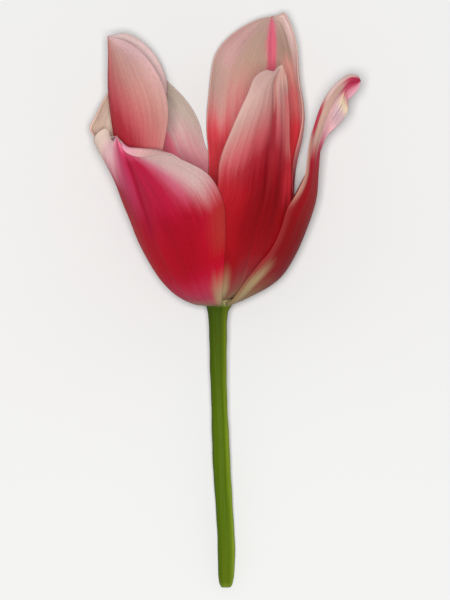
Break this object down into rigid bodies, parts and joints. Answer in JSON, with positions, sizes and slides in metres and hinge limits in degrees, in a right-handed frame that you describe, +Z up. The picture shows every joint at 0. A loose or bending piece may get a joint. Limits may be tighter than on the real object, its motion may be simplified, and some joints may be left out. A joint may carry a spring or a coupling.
{
  "type": "cut tulip",
  "caption": "Cut tulip in full bloom with loose, waved petals round a pistil and stamens, on a short stem, made lying on its back.",
  "frame": {"origin": "on the surface that the flower lies on, under the middle of its bounding box", "axes": "+Y along the flower, from the stem's cut end towards the mouth of the bloom; +Z up, away from the surface; +X across it"},
  "size_m": [0.076, 0.1613, 0.0565],
  "materials": {
    "petal": "satin",
    "stem": "satin",
    "stigma": "matt",
    "filament": "satin",
    "anther": "matt"
  },
  "bodies": {
    "root": {"petal_front_left": "petal", "petal_front": "petal", "petal_right": "petal", "petal_back_right": "petal", "petal_left": "petal", "petal_back_left": "petal", "stem": "stem", "ovary": "stem", "stigma": "stigma", "filament_1": "filament", "filament_2": "filament", "filament_3": "filament", "filament_4": "filament", "filament_5": "filament", "filament_6": "filament", "anther_1": "anther", "anther_2": "anther", "anther_3": "anther", "anther_4": "anther", "anther_5": "anther", "anther_6": "anther"}
  },
  "joints": []
}
